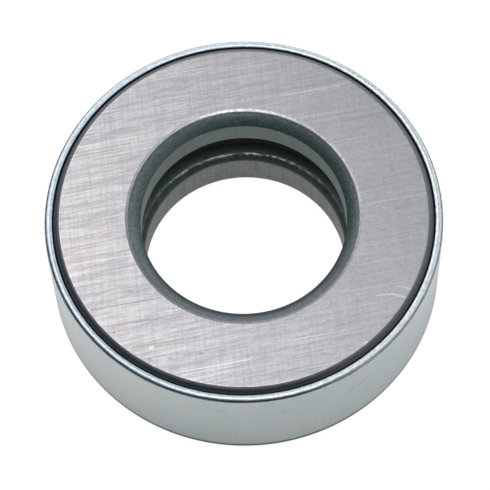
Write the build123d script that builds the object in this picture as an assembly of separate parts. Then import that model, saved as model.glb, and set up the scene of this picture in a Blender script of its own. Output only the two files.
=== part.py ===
from build123d import *

import math
import os

# Banded thrust ball bearing. Two grooved ring washers lie one above the other with a caged
# row of balls between them. A thin steel band grips the lower washer, and its rolled lip
# keeps the upper washer from lifting out. The upper washer turns on the balls.
# The axis is +Z and the origin is the centre of the face that the bearing stands on.

# Driving sizes, in millimetres
bore_diameter = 25.5
ball_diameter = 7.144
upper_washer_thickness = 4.7
lower_washer_thickness = 6.45

# Ball groove, the same in both washers
raceway_depth = 0.975
raceway_relief = 0.25
raceway_clearance = 0.05
raceway_shoulder = 3.05

# Corners of the upper washer
bore_corner_width = 1.86
bore_corner_height = 1.2
bore_corner_bulge = 0.19
rim_corner_width = 1.24
rim_corner_bulge = 0.16

# Corners of the lower washer
lower_mouth_width = 0.6
lower_mouth_height = 0.8
lower_mouth_bulge = 0.08
bottom_corner_radius = 0.7

# Small break on the other washer edges
edge_break = 0.5

# Steel band, with a lip over the upper washer and a flange under the lower one
band_wall = 0.5
band_side_gap = 0.15
lip_overhang = 0.51
lip_drop = 0.34
lip_play = 1.06
lip_inside_bend = 0.1
lip_edge_round = 0.3
flange_width = 1.2
flange_inside_bend = 0.3
flange_end_gap = 0.1
foot_height = 0.2

# Ball cage
cage_thickness = 2.4
cage_rim = 0.75
cage_web = 0.75
cage_edge_break = 0.25
pocket_clearance = 0.1

# Radii worked out from the bore outwards
bore_radius = bore_diameter / 2
ball_radius = ball_diameter / 2
raceway_radius = ball_radius + raceway_relief
raceway_half_width = math.sqrt(raceway_depth * (2 * raceway_radius - raceway_depth))
pitch_radius = bore_radius + raceway_shoulder + raceway_half_width
upper_outer_radius = pitch_radius + raceway_half_width + raceway_shoulder
band_inner_radius = upper_outer_radius + band_side_gap
band_outer_radius = band_inner_radius + band_wall
lip_inner_radius = band_inner_radius - lip_overhang
flange_inner_radius = band_inner_radius - flange_width

# Heights worked out from the foot upwards
ball_height = lower_washer_thickness - raceway_depth + raceway_clearance + ball_radius
underside_height = ball_height + ball_radius + raceway_clearance - raceway_depth
overall_height = underside_height + upper_washer_thickness
lip_top = overall_height - lip_drop
rebate_height = foot_height + band_wall

# As many balls as the pitch circle holds with a full web of cage between each pair
ball_half_space = ball_radius + pocket_clearance + cage_web / 2
ball_count = math.floor(math.pi / math.asin(ball_half_space / pitch_radius))


def turned(draw_outline):
    """Turns a closed outline around the bearing's axis. draw_outline draws its lines and
    arcs, with x as the radius and y as the height."""
    with BuildPart() as ring:
        with BuildSketch(Plane.XZ):
            with BuildLine():
                draw_outline()
            make_face()
        revolve(axis=Axis.Z)
    return ring.part


def upper_washer_outline():
    """Section of the upper washer: ground face on top, ball groove in the underside."""
    top = overall_height
    low = underside_height
    rim_corner_height = lip_drop + band_wall + lip_play
    land_top = (bore_radius, top - bore_corner_height)
    face_inner = (bore_radius + bore_corner_width, top)
    face_outer = (upper_outer_radius - rim_corner_width, top)
    rim_top = (upper_outer_radius, top - rim_corner_height)
    SagittaArc(land_top, face_inner, bore_corner_bulge)
    Line(face_inner, face_outer)
    SagittaArc(face_outer, rim_top, rim_corner_bulge)
    Polyline(
        rim_top,
        (upper_outer_radius, low + edge_break),
        (upper_outer_radius - edge_break, low),
        (pitch_radius + raceway_half_width, low),
    )
    ThreePointArc(
        (pitch_radius + raceway_half_width, low),
        (pitch_radius, low + raceway_depth),
        (pitch_radius - raceway_half_width, low),
    )
    Polyline(
        (pitch_radius - raceway_half_width, low),
        (bore_radius + edge_break, low),
        (bore_radius, low + edge_break),
        land_top,
    )


def lower_washer_outline():
    """Section of the lower washer: ball groove on top, and a rebate at the outer bottom edge
    that takes the band's flange."""
    top = lower_washer_thickness
    rebate_radius = flange_inner_radius - flange_end_gap
    mouth_low = (bore_radius, top - lower_mouth_height)
    mouth_high = (bore_radius + lower_mouth_width, top)
    corner_foot = (bore_radius + bottom_corner_radius, 0)
    corner_land = (bore_radius, bottom_corner_radius)
    Line(corner_land, mouth_low)
    SagittaArc(mouth_low, mouth_high, lower_mouth_bulge)
    Line(mouth_high, (pitch_radius - raceway_half_width, top))
    ThreePointArc(
        (pitch_radius - raceway_half_width, top),
        (pitch_radius, top - raceway_depth),
        (pitch_radius + raceway_half_width, top),
    )
    Polyline(
        (pitch_radius + raceway_half_width, top),
        (band_inner_radius - edge_break, top),
        (band_inner_radius, top - edge_break),
        (band_inner_radius, rebate_height + edge_break),
        (band_inner_radius - edge_break, rebate_height),
        (rebate_radius, rebate_height),
        (rebate_radius, 0),
        corner_foot,
    )
    RadiusArc(corner_foot, corner_land, bottom_corner_radius)


def band_outline():
    """Section of the band: one sheet, bent in at the top as a lip and at the bottom as a
    flange, with the outside of each bend a wall's thickness larger than its inside."""
    lip_outside_bend = lip_inside_bend + band_wall
    flange_outside_bend = flange_inside_bend + band_wall
    lip_under = lip_top - band_wall
    Line((flange_inner_radius, rebate_height), (flange_inner_radius, foot_height))
    Line(
        (flange_inner_radius, foot_height),
        (band_outer_radius - flange_outside_bend, foot_height),
    )
    RadiusArc(
        (band_outer_radius - flange_outside_bend, foot_height),
        (band_outer_radius, foot_height + flange_outside_bend),
        -flange_outside_bend,
    )
    Line(
        (band_outer_radius, foot_height + flange_outside_bend),
        (band_outer_radius, lip_top - lip_outside_bend),
    )
    RadiusArc(
        (band_outer_radius, lip_top - lip_outside_bend),
        (band_outer_radius - lip_outside_bend, lip_top),
        -lip_outside_bend,
    )
    Line(
        (band_outer_radius - lip_outside_bend, lip_top),
        (lip_inner_radius + lip_edge_round, lip_top),
    )
    RadiusArc(
        (lip_inner_radius + lip_edge_round, lip_top),
        (lip_inner_radius, lip_top - lip_edge_round),
        -lip_edge_round,
    )
    Polyline(
        (lip_inner_radius, lip_top - lip_edge_round),
        (lip_inner_radius, lip_under),
        (band_inner_radius - lip_inside_bend, lip_under),
    )
    RadiusArc(
        (band_inner_radius - lip_inside_bend, lip_under),
        (band_inner_radius, lip_under - lip_inside_bend),
        lip_inside_bend,
    )
    Line(
        (band_inner_radius, lip_under - lip_inside_bend),
        (band_inner_radius, rebate_height + flange_inside_bend),
    )
    RadiusArc(
        (band_inner_radius, rebate_height + flange_inside_bend),
        (band_inner_radius - flange_inside_bend, rebate_height),
        flange_inside_bend,
    )
    Line(
        (band_inner_radius - flange_inside_bend, rebate_height),
        (flange_inner_radius, rebate_height),
    )


def ball_places():
    """The centre of each ball on the pitch circle."""
    step = 360 / ball_count
    return [
        Pos(0, 0, ball_height) * Rot(0, 0, number * step) * Pos(pitch_radius, 0, 0)
        for number in range(ball_count)
    ]


def ball_cage():
    """Flat ring at the height of the ball centres, with a round pocket for each ball. The
    pockets follow the balls' own curve, so the balls carry the ring."""
    reach = ball_radius + pocket_clearance + cage_rim
    outer_radius = pitch_radius + reach
    inner_radius = pitch_radius - reach
    ring = Cylinder(outer_radius, cage_thickness) - Cylinder(inner_radius, cage_thickness)
    rims = ring.edges().filter_by(GeomType.CIRCLE)
    ring = Pos(0, 0, ball_height) * chamfer(rims, cage_edge_break)
    pocket = Sphere(ball_radius + pocket_clearance)
    return ring - [place * pocket for place in ball_places()]


os.makedirs("parts", exist_ok=True)

export_step(turned(upper_washer_outline), "parts/upper_washer.step")
export_step(turned(lower_washer_outline), "parts/lower_washer.step")
export_step(turned(band_outline), "parts/outer_band.step")
export_step(ball_cage(), "parts/ball_cage.step")

for number, place in enumerate(ball_places(), start=1):
    export_step(place * Sphere(ball_radius), f"parts/ball_{number:02d}.step")
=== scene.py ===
import math

import bpy
from mathutils import Matrix, Vector


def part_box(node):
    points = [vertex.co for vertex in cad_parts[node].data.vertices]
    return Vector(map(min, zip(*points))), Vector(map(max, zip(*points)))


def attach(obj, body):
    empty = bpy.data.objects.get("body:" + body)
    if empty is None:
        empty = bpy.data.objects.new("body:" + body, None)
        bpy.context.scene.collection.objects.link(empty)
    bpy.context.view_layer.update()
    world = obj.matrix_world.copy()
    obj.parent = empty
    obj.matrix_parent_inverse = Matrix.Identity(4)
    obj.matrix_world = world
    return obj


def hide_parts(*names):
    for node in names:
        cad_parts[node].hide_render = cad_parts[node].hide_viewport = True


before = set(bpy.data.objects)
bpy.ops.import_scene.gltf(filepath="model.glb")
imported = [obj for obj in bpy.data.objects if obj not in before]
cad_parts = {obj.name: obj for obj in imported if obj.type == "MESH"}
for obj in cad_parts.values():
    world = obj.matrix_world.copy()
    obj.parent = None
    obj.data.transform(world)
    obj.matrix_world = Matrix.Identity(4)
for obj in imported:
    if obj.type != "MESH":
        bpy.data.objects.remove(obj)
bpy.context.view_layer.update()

# Banded thrust ball bearing: a turning washer with a ground face, a still washer below it,
# a row of caged balls between them, and a thin plated steel band with a rolled lip.
# Shapes are in metres and materials in millimetres. The frame gives the outer sizes.

MM = 0.001
ROUND = 512  # points round each turned piece
TOUCH = 0.01 * MM  # a point this near to an edge counts as on it
SAME = 0.001 * MM  # points this near to each other are one

upper_low, upper_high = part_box("upper_washer")
lower_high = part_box("lower_washer")[1]
band_low, band_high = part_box("outer_band")
ball_low, ball_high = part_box("ball_01")

face_height = upper_high.z
underside_height = upper_low.z
lower_top = lower_high.z
washer_radius = upper_high.x
band_inside = lower_high.x
band_outside = band_high.x
band_bottom = band_low.z
lip_height = band_high.z
pitch_radius = (ball_high.x + ball_low.x) / 2
bore_radius = 12.75 * MM

# Edges and ball groove of both washers
edge_break = 0.5 * MM
bore_edge_break = 0.22 * MM
raceway_depth = 0.975 * MM
raceway_half_width = 2.55 * MM

# Corners round the ground face. A narrow strip at each of its edges keeps its shading flat.
bore_corner_width = 1.86 * MM
bore_corner_height = 1.2 * MM
bore_corner_bulge = 0.1 * MM
bright_edge_width = 0.32 * MM
bright_edge_height = 0.11 * MM
face_strip = 0.03 * MM
rim_corner_width = 1.24 * MM
rim_corner_height = 1.9 * MM
rim_roll_reach = 0.08 * MM
rim_roll_width = 0.03 * MM
rim_roll_drop = 0.026 * MM
rim_roll_bulge = 0.003 * MM
rim_fall_height = 0.62 * MM
rim_fall_bulge = 0.085 * MM
rim_fall_gap = 0.11 * MM
rim_foot_gap = 0.09 * MM
rim_foot_drop = 0.05 * MM
rim_even_width = 0.15 * MM
brown_skin_width = 0.3 * MM
corner_roughness_size = 0.8 * MM
corner_roughness_depth = 0.03 * MM

# Mouth and foot of the lower washer
mouth_height = 0.95 * MM
mouth_middle_width = 0.39 * MM
mouth_middle_drop = 0.4275 * MM
mouth_edge_width = 0.84 * MM
mouth_edge_drop = 0.16 * MM
mouth_bulge = 0.04 * MM
mouth_edge_bulge = 0.06 * MM
shoulder_width = 2.0 * MM
shoulder_bulge = 0.01 * MM
mouth_roughness_size = 0.7 * MM
mouth_roughness_depth = 0.06 * MM
mouth_roughness_width = 1.2 * MM
bottom_corner = 0.7 * MM
rebate_radius = 22.8 * MM
rebate_height = 0.7 * MM

# Band
band_wall = band_outside - band_inside
lip_inside = 23.59 * MM
lip_bend = 0.6 * MM
lip_crown_turn = 58  # degrees that the lip's top falls away before its edge
lip_edge_round = 0.13 * MM
lip_even_width = 0.05 * MM
lip_roughness_size = 2.2 * MM
lip_roughness_depth = 0.04 * MM
flange_inside = 22.9 * MM
flange_bend = 1.1 * MM
flange_inner_bend = 0.3 * MM

face_inside = bore_radius + bore_corner_width
face_outside = washer_radius - rim_corner_width


def arc(start, end, bulge, steps):
    """Points of an arc from start to end, as radius and height. The arc stands off the
    straight line by bulge, to the left of the way from start to end."""
    start, end = Vector(start), Vector(end)
    chord = end - start
    half = chord.length / 2
    radius = (half**2 + bulge**2) / (2 * abs(bulge))
    side = Vector((-chord.y, chord.x)).normalized() * math.copysign(1, bulge)
    centre = (start + end) / 2 + side * (abs(bulge) - radius)
    first = start - centre
    sweep = 2 * math.asin(min(1, half / radius)) * -math.copysign(1, bulge)
    points = []
    for step in range(steps + 1):
        turn = Matrix.Rotation(sweep * step / steps, 2)
        points.append(centre + turn @ first)
    return points


def bend(centre, radius, first_angle, last_angle, steps):
    """Points of a round bend about centre, from first_angle to last_angle in degrees."""
    points = []
    for step in range(steps + 1):
        angle = math.radians(first_angle + (last_angle - first_angle) * step / steps)
        points.append(Vector(centre) + radius * Vector((math.cos(angle), math.sin(angle))))
    return points


def straight(start, end, steps):
    """Evenly spaced points from start to end, without the start."""
    start, end = Vector(start), Vector(end)
    return [start.lerp(end, step / steps) for step in range(1, steps + 1)]


def turn_ring(name, outline):
    """Turns a closed outline of radius and height points into a ring: a circle is extruded
    from each point to the next, and the last circle is merged with the first."""
    bpy.ops.object.select_all(action="DESELECT")
    radius, height = outline[0]
    bpy.ops.mesh.primitive_circle_add(vertices=ROUND, radius=radius, location=(0, 0, 0))
    ring = bpy.context.object
    ring.name = name
    ring.data.name = name
    bpy.ops.object.mode_set(mode="EDIT")
    bpy.ops.mesh.select_mode(type="VERT")
    bpy.ops.mesh.select_all(action="SELECT")
    bpy.ops.transform.translate(value=(0, 0, height))
    for new_radius, new_height in list(outline[1:]) + [outline[0]]:
        bpy.ops.mesh.extrude_edges_indiv()
        scale = new_radius / radius
        bpy.ops.transform.resize(value=(scale, scale, 1), center_override=(0, 0, height))
        bpy.ops.transform.translate(value=(0, 0, new_height - height))
        radius, height = new_radius, new_height
    bpy.ops.mesh.select_all(action="SELECT")
    bpy.ops.mesh.remove_doubles(threshold=SAME)
    bpy.ops.mesh.normals_make_consistent(inside=False)
    bpy.ops.object.mode_set(mode="OBJECT")
    return ring


def make_uneven(ring, name, size, depth, share):
    """Moves the surface in and out by cloudy noise of one size, as far as depth, where
    share gives more than nothing for a point's radius and height."""
    group = ring.vertex_groups.new(name=name)
    for vertex in ring.data.vertices:
        radius = math.hypot(vertex.co.x, vertex.co.y)
        amount = share(radius, vertex.co.z)
        if amount > 0:
            group.add([vertex.index], amount, "REPLACE")
    clouds = bpy.data.textures.new(name, type="CLOUDS")
    clouds.noise_scale = size
    clouds.noise_depth = 2
    uneven = ring.modifiers.new(name, "DISPLACE")
    uneven.texture = clouds
    uneven.texture_coords = "LOCAL"
    uneven.vertex_group = name
    uneven.strength = depth
    uneven.mid_level = 0.5
    bpy.context.view_layer.objects.active = ring
    bpy.ops.object.modifier_apply(modifier=name)


def flatten(ring, height, chosen):
    """Presses the chosen points flat at a height, as grinding does. They are chosen by
    radius and height."""
    bpy.ops.object.mode_set(mode="EDIT")
    bpy.ops.mesh.select_mode(type="VERT")
    bpy.ops.mesh.select_all(action="DESELECT")
    bpy.ops.object.mode_set(mode="OBJECT")
    for vertex in ring.data.vertices:
        vertex.select = chosen(math.hypot(vertex.co.x, vertex.co.y), vertex.co.z)
    bpy.ops.object.mode_set(mode="EDIT")
    bpy.ops.transform.resize(value=(1, 1, 0), center_override=(0, 0, height))
    bpy.ops.object.mode_set(mode="OBJECT")


def smooth(ring, angle):
    """Shades the ring smooth, except where two faces meet at more than angle degrees."""
    bpy.ops.object.select_all(action="DESELECT")
    ring.select_set(True)
    bpy.context.view_layer.objects.active = ring
    bpy.ops.object.shade_smooth_by_angle(angle=math.radians(angle))


def paint(ring, materials, choose):
    """Gives the ring its materials. choose names the one for a face from the radius and
    height of its middle and from its normal."""
    names = list(materials)
    for name in names:
        ring.data.materials.append(materials[name])
    for face in ring.data.polygons:
        radius = math.hypot(face.center.x, face.center.y)
        face.material_index = names.index(choose(radius, face.center.z, face.normal))


# Shader building


def set_input(tree, socket, value):
    """Links another node's output to an input, or sets the input to a value."""
    if isinstance(value, bpy.types.NodeSocket):
        tree.links.new(value, socket)
    else:
        socket.default_value = value


def add_node(tree, kind, **inputs):
    """Adds a node to a tree. An input is named with _ for a space, and is a value or
    another node's output."""
    node = tree.nodes.new(kind)
    for name, value in inputs.items():
        set_input(tree, node.inputs[name.replace("_", " ")], value)
    return node


def maths(tree, operation, first, second=0.0, third=0.0):
    """The result of a sum on numbers, each a value or another node's output."""
    node = tree.nodes.new("ShaderNodeMath")
    node.operation = operation
    for socket, value in zip(node.inputs, (first, second, third)):
        set_input(tree, socket, value)
    return node.outputs[0]


def times(tree, first, second):
    """The product of two numbers."""
    return maths(tree, "MULTIPLY", first, second)


def vector_maths(tree, operation, first, second=None):
    """The result of a sum on vectors: a number for a length or a dot product."""
    node = tree.nodes.new("ShaderNodeVectorMath")
    node.operation = operation
    set_input(tree, node.inputs[0], first)
    if second is not None:
        set_input(tree, node.inputs[1], second)
    return node.outputs["Value" if operation in ("LENGTH", "DOT_PRODUCT") else "Vector"]


def split(tree, vector):
    """The X, Y and Z outputs of a vector."""
    return add_node(tree, "ShaderNodeSeparateXYZ", Vector=vector).outputs


def ramp(tree, value, low, high, at_low=0.0, at_high=1.0):
    """A smooth step from at_low to at_high as value goes from low to high."""
    node = tree.nodes.new("ShaderNodeMapRange")
    node.interpolation_type = "SMOOTHSTEP"
    for socket, setting in zip(node.inputs, (value, low, high, at_low, at_high)):
        set_input(tree, socket, setting)
    return node.outputs[0]


def mix(tree, share, first, second):
    """Mixes two colours."""
    node = tree.nodes.new("ShaderNodeMix")
    node.data_type = "RGBA"
    node.clamp_factor = True
    set_input(tree, node.inputs["Factor"], share)
    set_input(tree, node.inputs[6], first)
    set_input(tree, node.inputs[7], second)
    return node.outputs[2]


def lay_over(tree, under, over, mask, share):
    """Lays one colour over another by a share of a mask."""
    return mix(tree, times(tree, mask, share), under, over)


def noise(tree, place, scale, detail, roughness):
    """Soft noise between 0 and 1. scale is how many patches there are to a millimetre."""
    node = add_node(
        tree,
        "ShaderNodeTexNoise",
        Vector=place,
        Scale=scale,
        Detail=detail,
        Roughness=roughness,
    )
    return node.outputs["Fac"]


def place_in_mm(tree):
    """The object's own coordinates, in millimetres."""
    coordinates = tree.nodes.new("ShaderNodeTexCoord")
    scale = (1 / MM, 1 / MM, 1 / MM)
    return vector_maths(tree, "MULTIPLY", coordinates.outputs["Object"], scale)


def stretched(tree, place, turn, scale, shift):
    """Turns a pattern about the axis by turn degrees, then scales and shifts it."""
    rotated = tree.nodes.new("ShaderNodeVectorRotate")
    rotated.rotation_type = "Z_AXIS"
    set_input(tree, rotated.inputs["Vector"], place)
    rotated.inputs["Angle"].default_value = math.radians(-turn)
    scaled = vector_maths(tree, "MULTIPLY", rotated.outputs[0], scale)
    return vector_maths(tree, "ADD", scaled, shift)


def new_group(name, inputs, outputs):
    """An empty shader group with its two ends. Inputs are names with their default values."""
    group = bpy.data.node_groups.new(name, "ShaderNodeTree")
    for socket, value in inputs.items():
        made = group.interface.new_socket(socket, in_out="INPUT", socket_type="NodeSocketFloat")
        made.default_value = value
    for socket in outputs:
        group.interface.new_socket(socket, in_out="OUTPUT", socket_type="NodeSocketFloat")
    given = group.nodes.new("NodeGroupInput")
    result = group.nodes.new("NodeGroupOutput")
    return group, given.outputs, result.inputs


def use_group(tree, group, **inputs):
    """Places a group in a tree and gives its outputs. An input is named with _ for a space."""
    node = tree.nodes.new("ShaderNodeGroup")
    node.node_tree = group
    for name, value in inputs.items():
        set_input(tree, node.inputs[name.replace("_", " ")], value)
    return node.outputs


def new_metal(name):
    """A metal material. Gives the material, its tree and its shader."""
    material = bpy.data.materials.new(name)
    material.use_nodes = True
    tree = material.node_tree
    shader = tree.nodes["Principled BSDF"]
    shader.inputs["Metallic"].default_value = 1.0
    return material, tree, shader


def bump(tree, shader, height, depth):
    """Raises the surface by depth, in metres, where height is 1."""
    node = add_node(tree, "ShaderNodeBump", Height=height, Distance=depth)
    tree.links.new(node.outputs["Normal"], shader.inputs["Normal"])


LAY = 9.5  # degrees from +X, the way the grinding lines run
CROSS_LAY = 93  # degrees from +X, the fainter lines across them


def grinding_group():
    """Straight lines that a surface grinder leaves: fine ones all over, a few long dark and
    light ones, and fainter lines across them."""
    group, given, result = new_group(
        "grinding lines",
        {"Fine per mm": 4.0, "Broad per mm": 1.4},
        ["Lines", "Dark streaks", "Light streaks", "Cross lines"],
    )
    place = place_in_mm(group)
    fine_per_mm, broad_per_mm = given["Fine per mm"], given["Broad per mm"]

    def lines_along(turn, per_mm, length, shift, detail, roughness):
        """Noise drawn out to a length, in millimetres, in a direction."""
        scale = add_node(group, "ShaderNodeCombineXYZ", X=1 / length, Y=per_mm, Z=1.0)
        at = stretched(group, place, turn, scale.outputs[0], (shift, shift, 0))
        return noise(group, at, 1.0, detail, roughness)

    fine = lines_along(LAY, fine_per_mm, 5.0, shift=0.0, detail=2.0, roughness=0.6)
    finer = lines_along(LAY + 2.5, fine_per_mm, 2.5, shift=7.0, detail=2.0, roughness=0.7)
    broad = lines_along(LAY, broad_per_mm, 14.0, shift=3.0, detail=3.0, roughness=0.6)
    dark_lines = lines_along(LAY, fine_per_mm, 22.0, shift=11.0, detail=1.0, roughness=0.5)
    light_lines = lines_along(LAY - 1, fine_per_mm, 18.0, shift=23.0, detail=1.0, roughness=0.5)
    across_per_mm = times(group, broad_per_mm, 2.7)
    across = lines_along(CROSS_LAY, across_per_mm, 7.0, shift=5.0, detail=2.0, roughness=0.7)

    fine_share, finer_share, broad_share = 0.45, 0.35, 0.2
    lines = maths(group, "MULTIPLY_ADD", fine, fine_share, times(group, broad, broad_share))
    lines = maths(group, "MULTIPLY_ADD", finer, finer_share, lines)
    set_input(group, result["Lines"], ramp(group, lines, 0.38, 0.62))
    set_input(group, result["Dark streaks"], ramp(group, dark_lines, 0.60, 0.74))
    set_input(group, result["Light streaks"], ramp(group, light_lines, 0.60, 0.74))
    set_input(group, result["Cross lines"], ramp(group, across, 0.44, 0.62))
    return group


def skin_group():
    """Mottling and specks of a heat-treated skin."""
    group, given, result = new_group("heat skin", {"Size": 1.0}, ["Mottle", "Specks"])
    place = place_in_mm(group)
    clouds_per_mm = maths(group, "DIVIDE", 1.1, given["Size"])
    specks_per_mm = maths(group, "DIVIDE", 3.2, given["Size"])
    cloud = noise(group, place, clouds_per_mm, detail=4.0, roughness=0.6)
    speck = noise(group, place, specks_per_mm, detail=2.0, roughness=0.6)
    set_input(group, result["Mottle"], ramp(group, cloud, 0.3, 0.7))
    set_input(group, result["Specks"], ramp(group, speck, 0.60, 0.74))
    return group


def turned_group():
    """Fine lines that run round the axis, as a lathe or a drawing die leaves them, and
    faint marks along it. Also gives the height above the foot, in millimetres."""
    group, given, result = new_group(
        "turned lines", {"Per mm": 4.0}, ["Round lines", "Upright lines", "Height"]
    )
    place = place_in_mm(group)
    parts = split(group, place)
    flat = add_node(group, "ShaderNodeCombineXYZ", X=parts["X"], Y=parts["Y"]).outputs[0]
    radius = vector_maths(group, "LENGTH", flat)
    outward = vector_maths(group, "NORMALIZE", flat)
    along = maths(group, "ADD", radius, parts["Z"])

    def pattern(round_scale, along_scale, detail):
        """Noise with its own scale round the axis and along the outline."""
        height = times(group, along, along_scale)
        side = vector_maths(group, "MULTIPLY", outward, (round_scale, round_scale, 0))
        up = add_node(group, "ShaderNodeCombineXYZ", Z=height).outputs[0]
        return noise(group, vector_maths(group, "ADD", side, up), 1.0, detail, roughness=0.6)

    lines = pattern(round_scale=1.4, along_scale=given["Per mm"], detail=3.0)
    marks = pattern(round_scale=60.0, along_scale=0.12, detail=2.0)
    set_input(group, result["Round lines"], ramp(group, lines, 0.3, 0.7))
    set_input(group, result["Upright lines"], ramp(group, marks, 0.35, 0.7))
    set_input(group, result["Height"], parts["Z"])
    return group


def smudge_group():
    """Soft patches and smaller spots left by handling."""
    group, given, result = new_group("smudges", {"Size": 1.0}, ["Patches", "Spots"])
    place = place_in_mm(group)
    patches_per_mm = maths(group, "DIVIDE", 0.16, given["Size"])
    spots_per_mm = maths(group, "DIVIDE", 0.55, given["Size"])
    patch = noise(group, place, patches_per_mm, detail=3.0, roughness=0.55)
    spot = noise(group, place, spots_per_mm, detail=3.0, roughness=0.6)
    set_input(group, result["Patches"], ramp(group, patch, 0.35, 0.65))
    set_input(group, result["Spots"], ramp(group, spot, 0.62, 0.76))
    return group


def near_line(tree, place, start, end, width):
    """1 on a straight mark between two points, fading to 0 at its width. Sizes are in
    millimetres."""
    solid_width = 0.3 * width
    start, end = Vector(start).to_3d(), Vector(end).to_3d()
    length = (end - start).length
    way = (end - start).normalized()
    offset = vector_maths(tree, "SUBTRACT", place, start)
    reach = maths(tree, "MAXIMUM", vector_maths(tree, "DOT_PRODUCT", offset, way), 0.0)
    reach = maths(tree, "MINIMUM", reach, length)
    reach = add_node(tree, "ShaderNodeCombineXYZ", X=reach, Y=reach, Z=reach).outputs[0]
    away = vector_maths(tree, "SUBTRACT", offset, vector_maths(tree, "MULTIPLY", reach, way))
    distance = vector_maths(tree, "LENGTH", away)
    return ramp(tree, distance, solid_width, width, at_low=1, at_high=0)


def marks_group(name, marks, height_share):
    """Single marks. Each is a start, an end and a width. height_share is 0 for marks on the
    flat face, which are given without a height."""
    group, _, result = new_group(name, {}, ["Mask"])
    place = vector_maths(group, "MULTIPLY", place_in_mm(group), (1, 1, height_share))
    mask = 0.0
    for start, end, width in marks:
        mask = maths(group, "MAXIMUM", near_line(group, place, start, end, width), mask)
    set_input(group, result["Mask"], mask)
    return group


def lay_tangent(tree):
    """The way across the grinding lines, which turns with the washer."""
    angle = math.radians(LAY + 90)
    way = tree.nodes.new("ShaderNodeVectorTransform")
    way.vector_type = "VECTOR"
    way.convert_from = "OBJECT"
    way.convert_to = "WORLD"
    way.inputs[0].default_value = (math.cos(angle), math.sin(angle), 0)
    return way.outputs[0]


# Single marks that stand out, in millimetres: start, end and width
DARK_FACE_MARKS = [
    ((-19.0, -11.9), (-10.5, -10.7), 0.16),
    ((-17.5, -14.2), (-10.6, -13.4), 0.14),
    ((-14.0, -17.0), (-6.0, -16.0), 0.12),
    ((-16.3, -15.0), (-16.2, -15.0), 0.28),
    ((-5.9, -18.2), (-5.7, -18.2), 0.24),
    ((-9.6, -18.7), (-9.5, -18.7), 0.2),
    ((-12.1, -18.7), (-11.9, -18.7), 0.26),
    ((-14.2, -9.6), (-14.0, -9.6), 0.18),
    ((18.3, 10.0), (18.4, 10.1), 0.2),
]
LIGHT_FACE_MARKS = [
    ((-8.7, 11.6), (-8.5, 11.7), 0.3),
    ((15.7, -11.6), (17.5, -11.45), 0.12),
    ((17.5, -11.45), (19.1, -11.95), 0.2),
    ((18.2, -10.4), (19.9, -10.9), 0.08),
    ((13.9, -17.9), (14.1, -17.7), 0.3),
    ((-9.1, -20.6), (0.1, -19.2), 0.11),
    ((-8.0, -20.9), (-2.0, -20.0), 0.07),
    ((5.5, 16.2), (12.6, 17.3), 0.09),
    ((-11.9, -17.2), (-11.6, -17.1), 0.26),
]
BAND_SMUDGES = [
    ((12.1, -21.4, 10.3), (12.5, -21.2, 11.4), 0.8),
    ((13.2, -20.8, 10.6), (14.0, -20.2, 11.2), 0.7),
    ((13.9, -20.3, 7.3), (14.4, -19.9, 7.0), 0.5),
    ((4.0, -24.3, 11.3), (4.3, -24.2, 11.3), 0.5),
    ((8.4, -23.1, 12.4), (8.7, -23.0, 12.4), 0.4),
    ((-5.2, -24.0, 13.0), (-3.3, -24.4, 12.8), 0.5),
    ((-7.6, -23.4, 12.2), (-7.4, -23.5, 12.2), 0.4),
]

# Materials. Their places and heights are in millimetres from the middle of the foot.


def ground_steel():
    """The ground face: lines one way that fade towards the right, fainter ones across them,
    long streaks, soft soiling and single marks."""
    line_dark, line_light = (0.314, 0.310, 0.319, 1), (0.474, 0.470, 0.481, 1)
    cross_dark = (0.28, 0.27, 0.29, 1)
    streak_dark, streak_light = (0.24, 0.23, 0.25, 1), (0.70, 0.69, 0.69, 1)
    soiled = (0.45, 0.41, 0.41, 1)
    mark_dark, mark_light = (0.16, 0.155, 0.16, 1), (0.85, 0.85, 0.86, 1)

    material, tree, shader = new_metal("ground steel face")
    place = place_in_mm(tree)
    side = split(tree, place)["X"]
    grain = noise(tree, place, scale=3.0, detail=2.0, roughness=0.6)
    grinding = use_group(tree, grinding_lines, Fine_per_mm=4.2, Broad_per_mm=1.4)
    soiling = use_group(tree, smudges, Size=1.6)
    depth = ramp(tree, side, -4, 18, at_low=1, at_high=0.5)
    lines = times(tree, maths(tree, "SUBTRACT", grinding["Lines"], 0.5), depth)
    lines = maths(tree, "ADD", lines, maths(tree, "MULTIPLY_ADD", grain, 1.4, -0.2))
    steel = mix(tree, lines, line_dark, line_light)
    across = times(tree, grinding["Cross lines"], depth)
    steel = lay_over(tree, steel, cross_dark, across, 0.40)
    steel = lay_over(tree, steel, streak_dark, grinding["Dark streaks"], 0.35)
    steel = lay_over(tree, steel, streak_light, grinding["Light streaks"], 0.30)
    steel = lay_over(tree, steel, soiled, soiling["Patches"], 0.15)
    dark_marks = use_group(tree, marks_group("dark marks", DARK_FACE_MARKS, 0))["Mask"]
    light_marks = use_group(tree, marks_group("light marks", LIGHT_FACE_MARKS, 0))["Mask"]
    steel = lay_over(tree, steel, mark_dark, dark_marks, 0.45)
    steel = lay_over(tree, steel, mark_light, light_marks, 0.36)
    set_input(tree, shader.inputs["Base Color"], steel)
    roughness = ramp(tree, grinding["Lines"], 0, 1, at_low=0.40, at_high=0.34)
    set_input(tree, shader.inputs["Roughness"], roughness)
    shader.inputs["Anisotropic"].default_value = 0.75
    set_input(tree, shader.inputs["Tangent"], lay_tangent(tree))
    bump(tree, shader, grinding["Lines"], 0.003 * MM)
    return material


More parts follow.
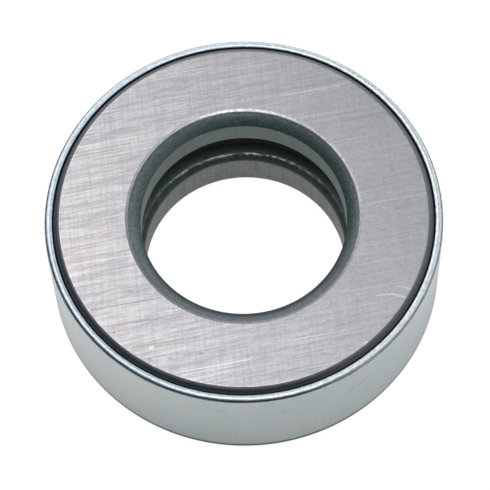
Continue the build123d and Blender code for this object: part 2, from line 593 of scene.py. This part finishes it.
def bright_edge_steel():
    """The narrow edge between the face and the bore's corner, worn bright, with painted shade on
    its near side that leaves a painted highlight on its far side.
    """
    worn_low, worn_high = (0.25, 0.255, 0.27, 1), (0.34, 0.345, 0.36, 1)
    speck = (0.12, 0.13, 0.14, 1)
    near_side_shade_colour = (0.13, 0.135, 0.145, 1)

    material, tree, shader = new_metal("bright steel edge")
    skin = use_group(tree, heat_skin, Size=0.6)
    side = split(tree, place_in_mm(tree))["Y"]
    steel = mix(tree, skin["Mottle"], worn_low, worn_high)
    steel = lay_over(tree, steel, speck, skin["Specks"], 0.5)
    # The near side is painted darker, as painted shade, which leaves the far side as a painted
    # highlight.
    near_side_shade = ramp(tree, side, -4, 10, at_low=1, at_high=0)
    steel = lay_over(tree, steel, near_side_shade_colour, near_side_shade, 0.75)
    set_input(tree, shader.inputs["Base Color"], steel)
    roughness = ramp(tree, skin["Mottle"], 0, 1, at_low=0.34, at_high=0.24)
    set_input(tree, shader.inputs["Roughness"], roughness)
    bump(tree, shader, skin["Mottle"], 0.002 * MM)
    return material


def oxide_skin(name, dark, light, speck_share, shine, far_shade_share=0.0):
    """Steel under a dark oxide skin, which shines only a little and more at a low angle. Its near
    side is painted darker and bluer as painted shade, and close to the ground face on the far
    side it has a dark line of painted shade, as strong as the last argument gives."""
    speck = (0.30, 0.31, 0.31, 1)
    near_shade_colour = (0.013, 0.015, 0.021, 1)
    far_shade_colour = (0.003, 0.006, 0.008, 1)
    far_shade_from = face_height / MM - 0.344
    far_shade_full = face_height / MM - 0.264

    material, tree, shader = new_metal(name)
    shader.inputs["Metallic"].default_value = 0.0
    shader.inputs["IOR"].default_value = shine
    skin = use_group(tree, heat_skin, Size=0.5)
    parts = split(tree, place_in_mm(tree))
    steel = mix(tree, skin["Mottle"], dark, light)
    steel = lay_over(tree, steel, speck, skin["Specks"], speck_share)
    # The near side is painted darker and bluer: painted shade.
    near_shade = ramp(tree, parts["Y"], -13, -2, at_low=1, at_high=0)
    steel = lay_over(tree, steel, near_shade_colour, near_shade, 0.6)
    # Close to the ground face on the far side, a dark line of painted shade.
    ragged_height = maths(tree, "MULTIPLY_ADD", skin["Mottle"], -0.1, parts["Z"])
    far_shade = ramp(tree, ragged_height, far_shade_from, far_shade_full)
    far_shade = times(tree, far_shade, ramp(tree, parts["Y"], -4, 10))
    steel = lay_over(tree, steel, far_shade_colour, far_shade, far_shade_share)
    set_input(tree, shader.inputs["Base Color"], steel)
    roughness = ramp(tree, skin["Mottle"], 0, 1, at_low=0.42, at_high=0.30)
    set_input(tree, shader.inputs["Roughness"], roughness)
    bump(tree, shader, skin["Mottle"], 0.012 * MM)
    return material


def bored_steel(name, dark, light):
    """A bored wall with its heat-treated skin on."""
    material, tree, shader = new_metal(name)
    turning = use_group(tree, turned_lines, Per_mm=4.0)
    skin = use_group(tree, heat_skin, Size=2.0)
    steel = mix(tree, skin["Mottle"], dark, light)
    steel = lay_over(tree, steel, dark, turning["Upright lines"], 0.6)
    set_input(tree, shader.inputs["Base Color"], steel)
    roughness = ramp(tree, skin["Mottle"], 0, 1, at_low=0.34, at_high=0.44)
    set_input(tree, shader.inputs["Roughness"], roughness)
    bump(tree, shader, turning["Round lines"], 0.002 * MM)
    return material


def lower_washer_steel():
    """The still washer: a grey bored wall, a dark skin over its rough mouth, and a line worn
    bright round the mouth's edge, painted brightest on the far side as a painted highlight. The
    skin is painted lower at the sides, as a painted reflection of the dark gap."""
    wall_dark, wall_light = (0.30, 0.315, 0.30, 1), (0.41, 0.42, 0.40, 1)
    wall_mark = (0.25, 0.265, 0.25, 1)
    oxide_dark, oxide_light = (0.022, 0.043, 0.035, 1), (0.052, 0.080, 0.068, 1)
    shoulder_oxide = (0.034, 0.068, 0.054, 1)
    speck = (0.30, 0.31, 0.30, 1)
    wear_and_highlight_colour = (0.50, 0.52, 0.50, 1)
    top = lower_top / MM

    material, tree, shader = new_metal("lower washer steel")
    shader.inputs["IOR"].default_value = 1.6
    turning = use_group(tree, turned_lines, Per_mm=4.0)
    skin = use_group(tree, heat_skin, Size=0.8)
    parts = split(tree, place_in_mm(tree))
    height = turning["Height"]
    skin_and_reflection_height = maths(tree, "MULTIPLY_ADD", skin["Mottle"], 0.22, height)
    # The skin is painted lower at the sides: a painted reflection of the dark gap.
    sideness = times(tree, parts["X"], parts["X"])
    skin_and_reflection_height = maths(tree, "MULTIPLY_ADD", sideness, 0.0042, skin_and_reflection_height)
    skin_and_reflection = ramp(tree, skin_and_reflection_height, top - 1.15, top - 0.6)
    line_height = maths(tree, "MULTIPLY_ADD", skin["Mottle"], 0.1, height)
    edge = ramp(tree, line_height, top - 0.31, top - 0.21)
    edge_end = ramp(tree, line_height, top - 0.14, top - 0.06, at_low=1, at_high=0)
    edge = times(tree, edge, edge_end)
    # The worn line is painted brightest on the far side: a painted highlight.
    edge = times(tree, edge, ramp(tree, parts["Y"], 6, 12, at_low=0.15, at_high=0.75))
    broken = ramp(tree, skin["Mottle"], 0.35, 0.8, at_low=0.15, at_high=1)
    wear_and_highlight = times(tree, edge, broken)
    wall = mix(tree, skin["Mottle"], wall_dark, wall_light)
    upright = times(tree, turning["Upright lines"], ramp(tree, height, 0.05, 0.8))
    wall = lay_over(tree, wall, wall_mark, upright, 0.6)
    oxide = mix(tree, skin["Mottle"], oxide_dark, oxide_light)
    shoulder = ramp(tree, height, top - 0.35, top - 0.05)
    oxide = lay_over(tree, oxide, shoulder_oxide, shoulder, 0.9)
    oxide = lay_over(tree, oxide, speck, skin["Specks"], 0.12)
    steel = mix(tree, skin_and_reflection, wall, oxide)
    steel = mix(tree, wear_and_highlight, steel, wear_and_highlight_colour)
    set_input(tree, shader.inputs["Base Color"], steel)
    skinned = times(tree, skin_and_reflection, maths(tree, "SUBTRACT", wear_and_highlight, 1.0))
    set_input(tree, shader.inputs["Metallic"], maths(tree, "ADD", skinned, 1.0))
    roughness = ramp(tree, wear_and_highlight, 0, 0.6, at_low=0.5, at_high=0.30)
    set_input(tree, shader.inputs["Roughness"], roughness)
    bump(tree, shader, skin["Mottle"], 0.003 * MM)
    return material


def plated_steel():
    """The plated band: a smooth satin side, painted shade at its foot, and a lip painted lighter
    to the right and speckled white, as painted highlight.
    """
    plate_cool, plate_warm = (0.475, 0.535, 0.53, 1), (0.535, 0.555, 0.535, 1)
    drawn_mark = (0.40, 0.45, 0.45, 1)
    spotted = (0.38, 0.40, 0.37, 1)
    smudged = (0.22, 0.24, 0.22, 1)
    foot_shade_colour = (0.05, 0.055, 0.055, 1)
    lip_left_highlight, lip_right_highlight = (0.49, 0.575, 0.64, 1), (0.57, 0.625, 0.63, 1)
    lip_glint, lip_pit = (0.92, 0.93, 0.93, 1), (0.24, 0.27, 0.28, 1)
    bottom = band_bottom / MM
    top = lip_height / MM

    material, tree, shader = new_metal("plated band steel")
    turning = use_group(tree, turned_lines, Per_mm=1.2)
    height = turning["Height"]
    parts = split(tree, place_in_mm(tree))
    soiling = use_group(tree, smudges, Size=1.0)
    steel = mix(tree, soiling["Patches"], plate_cool, plate_warm)
    steel = lay_over(tree, steel, drawn_mark, turning["Upright lines"], 0.25)
    steel = lay_over(tree, steel, spotted, soiling["Spots"], 0.30)
    smudge = use_group(tree, marks_group("band smudges", BAND_SMUDGES, 1))["Mask"]
    steel = lay_over(tree, steel, smudged, smudge, 0.20)
    # The foot is painted dark: painted shade for the floor's shadow seen in the bend.
    foot_shade = ramp(tree, height, bottom + 1.25, bottom + 1.8, at_low=1, at_high=0)
    steel = mix(tree, foot_shade, steel, foot_shade_colour)
    lip = ramp(tree, height, top - 0.754, top - 0.354)
    grain = use_group(tree, heat_skin, Size=0.7)
    pits = use_group(tree, heat_skin, Size=0.45)["Mottle"]
    # The lip is painted lighter and bluer than the side, most to the right: a painted highlight.
    lip_highlight = mix(tree, ramp(tree, parts["X"], -16, 16), lip_left_highlight, lip_right_highlight)
    steel = lay_over(tree, steel, lip_highlight, lip, 0.85)
    # White specks on the lip are painted glints.
    steel = lay_over(tree, steel, lip_glint, times(tree, lip, grain["Specks"]), 0.8)
    steel = lay_over(tree, steel, lip_pit, times(tree, lip, pits), 0.4)
    set_input(tree, shader.inputs["Base Color"], steel)
    satin = ramp(tree, soiling["Patches"], 0, 1, at_low=0.18, at_high=0.22)
    crown = ramp(tree, height, top - 0.164, top - 0.084)
    roughness = maths(tree, "MULTIPLY_ADD", crown, 0.18, satin)
    set_input(tree, shader.inputs["Roughness"], roughness)
    lines = times(tree, turning["Round lines"], 0.4)
    relief = maths(tree, "MULTIPLY_ADD", grain["Mottle"], lip, lines)
    bump(tree, shader, relief, 0.016 * MM)
    return material


def dark_shaded_steel():
    """Near-black steel for the cage, a dark oxide painted darker still as shade, and for the
    underside of the turning washer, painted near-black as shade where little light reaches.
    """
    dark, light = (0.004, 0.005, 0.004, 1), (0.009, 0.011, 0.009, 1)

    material, tree, shader = new_metal("dark shaded steel")
    skin = use_group(tree, heat_skin, Size=0.7)
    set_input(tree, shader.inputs["Base Color"], mix(tree, skin["Mottle"], dark, light))
    roughness = ramp(tree, skin["Mottle"], 0, 1, at_low=0.6, at_high=0.5)
    set_input(tree, shader.inputs["Roughness"], roughness)
    bump(tree, shader, skin["Mottle"], 0.01 * MM)
    return material


def ball_steel():
    """Polished ball steel, with a few duller specks."""
    dark, light = (0.56, 0.57, 0.59, 1), (0.64, 0.65, 0.66, 1)

    material, tree, shader = new_metal("polished ball steel")
    skin = use_group(tree, heat_skin, Size=0.5)
    set_input(tree, shader.inputs["Base Color"], mix(tree, skin["Mottle"], dark, light))
    roughness = ramp(tree, skin["Specks"], 0, 1, at_low=0.08, at_high=0.16)
    set_input(tree, shader.inputs["Roughness"], roughness)
    return material


grinding_lines = grinding_group()
heat_skin = skin_group()
turned_lines = turned_group()
smudges = smudge_group()

ground = ground_steel()
bright_edge = bright_edge_steel()
bore_skin = oxide_skin(
    "dark oxide skin",
    dark=(0.008, 0.028, 0.032, 1),
    light=(0.038, 0.065, 0.067, 1),
    speck_share=0.5,
    shine=1.75,
    far_shade_share=0.8,
)
brown_skin = oxide_skin(
    "brown oxide skin",
    dark=(0.009, 0.011, 0.017, 1),
    light=(0.023, 0.026, 0.036, 1),
    speck_share=0.25,
    shine=1.9,
)
blue_skin = oxide_skin(
    "blue oxide skin",
    dark=(0.004, 0.011, 0.020, 1),
    light=(0.013, 0.025, 0.041, 1),
    speck_share=0.25,
    shine=1.9,
)
upper_bore = bored_steel(
    "bored upper steel", dark=(0.15, 0.19, 0.17, 1), light=(0.245, 0.29, 0.265, 1)
)
lower_steel = lower_washer_steel()
plated = plated_steel()
dark_and_shaded_steel = dark_shaded_steel()
ball_finish = ball_steel()


def upper_washer():
    """The turning washer, with uneven rounded corners round its flat ground face."""
    top = face_height
    low = underside_height
    land_top = (bore_radius, top - bore_corner_height)
    bright_low = (face_inside - bright_edge_width, top - bright_edge_height)
    roll_start = (face_outside - rim_roll_reach, top)
    roll_end = (face_outside + rim_roll_width, top - rim_roll_drop)
    fall_end = (lip_inside - rim_fall_gap, top - rim_fall_height)
    below_lip = (lip_inside - rim_foot_gap, lip_height - band_wall - rim_foot_drop)

    outline = arc(land_top, bright_low, bore_corner_bulge, steps=12)
    outline += straight(bright_low, (face_inside, top), steps=4)
    outline += [Vector((face_inside + face_strip, top))]
    outline += straight(outline[-1], (roll_start[0] - face_strip, top), steps=8)
    outline += arc(roll_start, roll_end, rim_roll_bulge, steps=3)
    outline += arc(outline[-1], fall_end, rim_fall_bulge, steps=12)[1:]
    outline += [Vector(below_lip)]
    outline += straight(outline[-1], (washer_radius, top - rim_corner_height), steps=3)
    outline += straight(outline[-1], (washer_radius, low + edge_break), steps=3)
    outline += [Vector((washer_radius - edge_break, low))]
    groove_outside = (pitch_radius + raceway_half_width, low)
    groove_inside = (pitch_radius - raceway_half_width, low)
    outline += arc(groove_outside, groove_inside, -raceway_depth, steps=16)
    outline += [Vector((bore_radius + bore_edge_break, low))]
    outline += [Vector((bore_radius, low + bore_edge_break))]
    outline += straight(outline[-1], land_top, steps=3)[:-1]
    ring = turn_ring("turning_washer", outline)

    bright_edge_share = 0.35
    rim_share = 0.6
    fade_width = 0.3 * MM

    def on_corners(radius, height):
        """The corner at the bore is uneven and its bright edge less so, and the rim's is
        uneven between the face and the lip."""
        if height < top - bore_corner_height * 0.95:
            return 0
        if radius < face_inside + TOUCH:
            if radius > face_inside - 1.2 * bright_edge_width:
                return bright_edge_share
            return min(1, (radius - bore_radius) / fade_width)
        return rim_share if face_outside + 2 * TOUCH < radius < lip_inside - rim_even_width else 0

    make_uneven(
        ring, "uneven corners", corner_roughness_size, corner_roughness_depth, on_corners
    )
    slack = 0.06 * MM

    def on_face(radius, height):
        """The flat of the ground face, which grinding leaves even."""
        within = face_inside - TOUCH < radius < face_outside - rim_roll_reach + TOUCH
        return abs(height - top) < slack and within

    flatten(ring, top, on_face)

    def finish_for(radius, height, normal):
        """The finish of a face of the washer, from the ground face outwards and down."""
        if height > top - SAME and normal.z > 0.999:
            return "ground"
        if radius < bore_radius + TOUCH:
            return "bored"
        if height > top - bright_edge_height and radius < face_inside + slack:
            return "bright edge"
        if height > top - 3 * TOUCH:
            return "ground"
        # Faces low on the underside are painted near-black: painted shade.
        if height < low + bore_edge_break:
            return "dark"
        if radius > face_outside:
            return "brown skin" if radius < face_outside + brown_skin_width else "blue skin"
        return "skin"

    finishes = {
        "ground": ground,
        "bright edge": bright_edge,
        "skin": bore_skin,
        "brown skin": brown_skin,
        "blue skin": blue_skin,
        "bored": upper_bore,
        "dark": dark_and_shaded_steel,
    }
    paint(ring, finishes, finish_for)
    smooth(ring, 10)
    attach(ring, "shaft_side")
    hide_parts("upper_washer")


def lower_washer():
    """The still washer, with a rough-edged mouth and a rounded bottom corner."""
    top = lower_top
    mouth_low = (bore_radius, top - mouth_height)
    mouth_middle = (bore_radius + mouth_middle_width, top - mouth_middle_drop)
    mouth_edge = (bore_radius + mouth_edge_width, top - mouth_edge_drop)
    groove_inside = (pitch_radius - raceway_half_width, top)
    groove_outside = (pitch_radius + raceway_half_width, top)

    outline = arc(mouth_low, mouth_middle, mouth_bulge, steps=8)
    outline += arc(mouth_middle, mouth_edge, mouth_edge_bulge, steps=8)[1:]
    outline += arc(mouth_edge, (bore_radius + shoulder_width, top), shoulder_bulge, steps=8)[1:]
    outline += straight(outline[-1], groove_inside, steps=2)
    outline += arc(groove_inside, groove_outside, -raceway_depth, steps=16)[1:]
    outline += [
        Vector((band_inside - edge_break, top)),
        Vector((band_inside, top - edge_break)),
        Vector((band_inside, rebate_height + edge_break)),
        Vector((band_inside - edge_break, rebate_height)),
        Vector((rebate_radius, rebate_height)),
        Vector((rebate_radius, 0)),
    ]
    outline += straight(outline[-1], (bore_radius + bottom_corner, 0), steps=4)
    corner = (bore_radius + bottom_corner, bottom_corner)
    outline += bend(corner, bottom_corner, 270, 180, steps=10)[1:]
    outline += straight(outline[-1], mouth_low, steps=5)[:-1]
    ring = turn_ring("still_washer", outline)

    fade_width = 0.4 * MM

    def on_mouth(radius, height):
        """The mouth is uneven, fading out towards its shoulder."""
        if height > top - mouth_height * 1.1 and radius < bore_radius + mouth_roughness_width:
            return min(1, (bore_radius + mouth_roughness_width - radius) / fade_width)
        return 0

    make_uneven(ring, "rough mouth", mouth_roughness_size, mouth_roughness_depth, on_mouth)

    paint(ring, {"steel": lower_steel}, lambda radius, height, normal: "steel")
    smooth(ring, 30)
    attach(ring, "housing")
    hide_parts("lower_washer")


def steel_band():
    """The band: one thin sheet with a rolled lip at the top and a flange at the bottom."""
    lip_under = lip_height - band_wall
    lip_inner_bend = lip_bend - band_wall
    flange_top = band_bottom + band_wall
    foot_centre = (band_outside - flange_bend, band_bottom + flange_bend)
    lip_centre = (band_outside - lip_bend, lip_height - lip_bend)
    crown_end = 180 - lip_crown_turn

    outline = [Vector((flange_inside, flange_top)), Vector((flange_inside, band_bottom))]
    outline += straight(outline[-1], (foot_centre[0], band_bottom), steps=2)[:-1]
    outline += bend(foot_centre, flange_bend, 270, 360, steps=12)
    outline += straight(outline[-1], (band_outside, lip_centre[1]), steps=12)[:-1]
    outline += bend(lip_centre, lip_bend, 0, 90, steps=14)
    outline += bend(lip_centre, lip_bend, 90, crown_end, steps=6)[1:]
    crown_turn = math.radians(lip_crown_turn)
    crown_way = Vector((-math.cos(crown_turn), math.sin(crown_turn)))
    edge_centre = outline[-1] - lip_edge_round * crown_way
    outline += bend(edge_centre, lip_edge_round, crown_end, 180, steps=5)[1:]
    outline += [Vector((outline[-1].x, lip_under))]
    outline += [Vector((band_inside - lip_inner_bend, lip_under))]
    outline += [Vector((band_inside, lip_under - lip_inner_bend))]
    outline += straight(outline[-1], (band_inside, flange_top + flange_inner_bend), steps=4)
    outline += [Vector((band_inside - flange_inner_bend, flange_top))]
    ring = turn_ring("steel_band", outline)

    def on_lip(radius, height):
        """The lip is uneven, apart from its outer side."""
        on_top = height > lip_under - TOUCH
        return 1 if on_top and radius < band_outside - lip_even_width else 0

    make_uneven(ring, "uneven lip", lip_roughness_size, lip_roughness_depth, on_lip)
    paint(ring, {"plated": plated}, lambda radius, height, normal: "plated")
    smooth(ring, 40)
    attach(ring, "housing")
    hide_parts("outer_band")


def finish_inner_pieces():
    """The cage and the balls keep their own shapes and get their finish."""
    for name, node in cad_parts.items():
        if name == "ball_cage":
            node.data.materials[0] = dark_and_shaded_steel
        elif name.startswith("ball_"):
            node.data.materials[0] = ball_finish


def floor():
    """A white floor. To the camera it is plain white with a faint shadow, the metal shows it
    white with its real shadow near the bearing and painted shade further out, and it throws light
    back as a white floor does."""
    radius = 4.0
    drop = 0.02 * MM  # keeps it clear of the washer's flat foot
    glow_seen, glow_mirrored = 0.94, 0.1
    paint_white, paint_seen = 0.85, 0.15
    dim_start, dim_end = 0.034, 0.085
    dim_least, dim_most = 0.02, 0.78

    bpy.ops.object.select_all(action="DESELECT")
    bpy.ops.mesh.primitive_circle_add(
        vertices=64, radius=radius, fill_type="NGON", location=(0, 0, -drop)
    )
    plane = bpy.context.object
    plane.name = "floor"
    material = bpy.data.materials.new("white floor")
    material.use_nodes = True
    tree = material.node_tree
    tree.nodes.clear()
    ray = tree.nodes.new("ShaderNodeLightPath").outputs
    mirrored = maths(tree, "MAXIMUM", ray["Is Glossy Ray"], ray["Is Transmission Ray"])
    glow_level = times(tree, mirrored, glow_mirrored)
    glow_level = maths(tree, "MULTIPLY_ADD", ray["Is Camera Ray"], glow_seen, glow_level)
    darker = paint_seen - paint_white
    paint_level = maths(tree, "MULTIPLY_ADD", ray["Is Camera Ray"], darker, paint_white)
    place = tree.nodes.new("ShaderNodeTexCoord").outputs["Object"]
    distance = vector_maths(tree, "LENGTH", place)
    # Reflections show the floor painted darker further from the bearing: painted shade.
    painted_reflected_shade = ramp(tree, distance, dim_start, dim_end, dim_least, dim_most)
    painted_reflected_shade = times(tree, mirrored, painted_reflected_shade)
    paint_level = maths(tree, "SUBTRACT", paint_level, painted_reflected_shade)
    colour = add_node(
        tree, "ShaderNodeCombineColor", Red=paint_level, Green=paint_level, Blue=paint_level
    )
    matt = add_node(tree, "ShaderNodeBsdfDiffuse", Color=colour.outputs[0])
    glow = add_node(tree, "ShaderNodeEmission", Strength=glow_level)
    shown = tree.nodes.new("ShaderNodeAddShader")
    tree.links.new(matt.outputs[0], shown.inputs[0])
    tree.links.new(glow.outputs[0], shown.inputs[1])
    out = tree.nodes.new("ShaderNodeOutputMaterial")
    tree.links.new(shown.outputs[0], out.inputs["Surface"])
    plane.data.materials.append(material)


def lamp(name, shape, size, level, colour, place):
    """An area lamp that faces the object. level is how bright its surface is."""
    data = bpy.data.lights.new(name, "AREA")
    data.shape = shape
    data.size = size[0]
    data.size_y = size[1]
    area = size[0] * size[1] * (math.pi / 4 if shape == "ELLIPSE" else 1)
    data.energy = level * area * math.pi
    data.color = colour
    holder = bpy.data.objects.new(name, data)
    bpy.context.scene.collection.objects.link(holder)
    holder.location = place
    holder.rotation_euler = Vector(place).to_track_quat("Z", "Y").to_euler()


def studio_light():
    """A soft room, a bright round lamp overhead and a wide panel to the left. The room is
    bright above and behind the bearing, apart from a dim gap high up, and dark on the near
    side. Where the camera looks past the floor, it is plain white."""
    room_colour = (0.92, 0.965, 1.0, 1)
    white = (1, 1, 1, 1)
    gap_way = (0.165, 0.54, 0.825)

    world = bpy.data.worlds.new("studio")
    bpy.context.scene.world = world
    world.use_nodes = True
    tree = world.node_tree
    background = tree.nodes["Background"]
    way = tree.nodes.new("ShaderNodeTexCoord").outputs["Generated"]
    parts = split(tree, way)
    openness = maths(tree, "MULTIPLY_ADD", parts["Y"], 0.85, parts["Z"])
    sideness = times(tree, parts["X"], parts["X"])
    openness = maths(tree, "MULTIPLY_ADD", sideness, -0.6, openness)
    openness = maths(tree, "MULTIPLY_ADD", parts["X"], 0.12, openness)
    level = ramp(tree, openness, 0.05, 0.70, at_low=0.05, at_high=1.3)
    back_window = ramp(tree, parts["Y"], 0.78, 0.95, at_low=0, at_high=0.9)
    level = maths(tree, "ADD", level, back_window)
    right_window = ramp(tree, parts["X"], 0.35, 0.75, at_low=0, at_high=0.5)
    level = maths(tree, "ADD", level, right_window)
    towards_gap = vector_maths(tree, "DOT_PRODUCT", way, gap_way)
    gap = ramp(tree, towards_gap, 0.93, 0.985, at_low=0, at_high=-1.2)
    level = maths(tree, "ADD", level, gap)
    ray = tree.nodes.new("ShaderNodeLightPath").outputs
    seen = maths(tree, "MAXIMUM", ray["Is Camera Ray"], ray["Is Transmission Ray"])
    unseen = maths(tree, "SUBTRACT", 1.0, seen)
    level = maths(tree, "MULTIPLY_ADD", level, unseen, seen)
    set_input(tree, background.inputs["Strength"], level)
    set_input(tree, background.inputs["Color"], mix(tree, seen, room_colour, white))
    lamp(
        "round lamp",
        "ELLIPSE",
        size=(0.2, 0.2),
        level=3.3,
        colour=(0.95, 0.97, 1.0),
        place=(0.0, -0.044, 0.498),
    )
    lamp(
        "left panel",
        "RECTANGLE",
        size=(0.24, 0.34),
        level=1.5,
        colour=(1.0, 0.84, 0.81),
        place=(-0.16, 0.17, 0.38),
    )


# Camera, fitted to the round edges of the bearing in a square picture
PICTURE_WIDTH = 490
FOCAL_PIXELS = 2671.7
CAMERA_ELEVATION = 64.956
CAMERA_DISTANCE = 328.6 * MM
CAMERA_ROLL = -2.3905
CAMERA_PAN = 0.0316
CAMERA_TILT = -0.6562


def camera():
    """Looks at the middle of the ground face from the near side, with its angles in degrees."""
    data = bpy.data.cameras.new("camera")
    holder = bpy.data.objects.new("camera", data)
    bpy.context.scene.collection.objects.link(holder)
    data.sensor_width = 36
    data.lens = FOCAL_PIXELS / PICTURE_WIDTH * data.sensor_width
    data.clip_start = 0.01
    elevation = math.radians(CAMERA_ELEVATION)
    towards = Vector((0, math.cos(elevation), -math.sin(elevation)))
    above = Vector((0, math.sin(elevation), math.cos(elevation)))
    aim = Matrix((Vector((1, 0, 0)), above, -towards)).transposed()
    aim = aim @ Matrix.Rotation(math.radians(CAMERA_ROLL), 3, "Z")
    aim = aim @ Matrix.Rotation(math.radians(-CAMERA_PAN), 3, "Y")
    aim = aim @ Matrix.Rotation(math.radians(CAMERA_TILT), 3, "X")
    target = Vector((0, 0, face_height))
    holder.matrix_world = Matrix.Translation(target - towards * CAMERA_DISTANCE) @ aim.to_4x4()
    bpy.context.scene.camera = holder


camera()
studio_light()
floor()
upper_washer()
lower_washer()
steel_band()
finish_inner_pieces()

bpy.context.scene.view_settings.view_transform = "Standard"
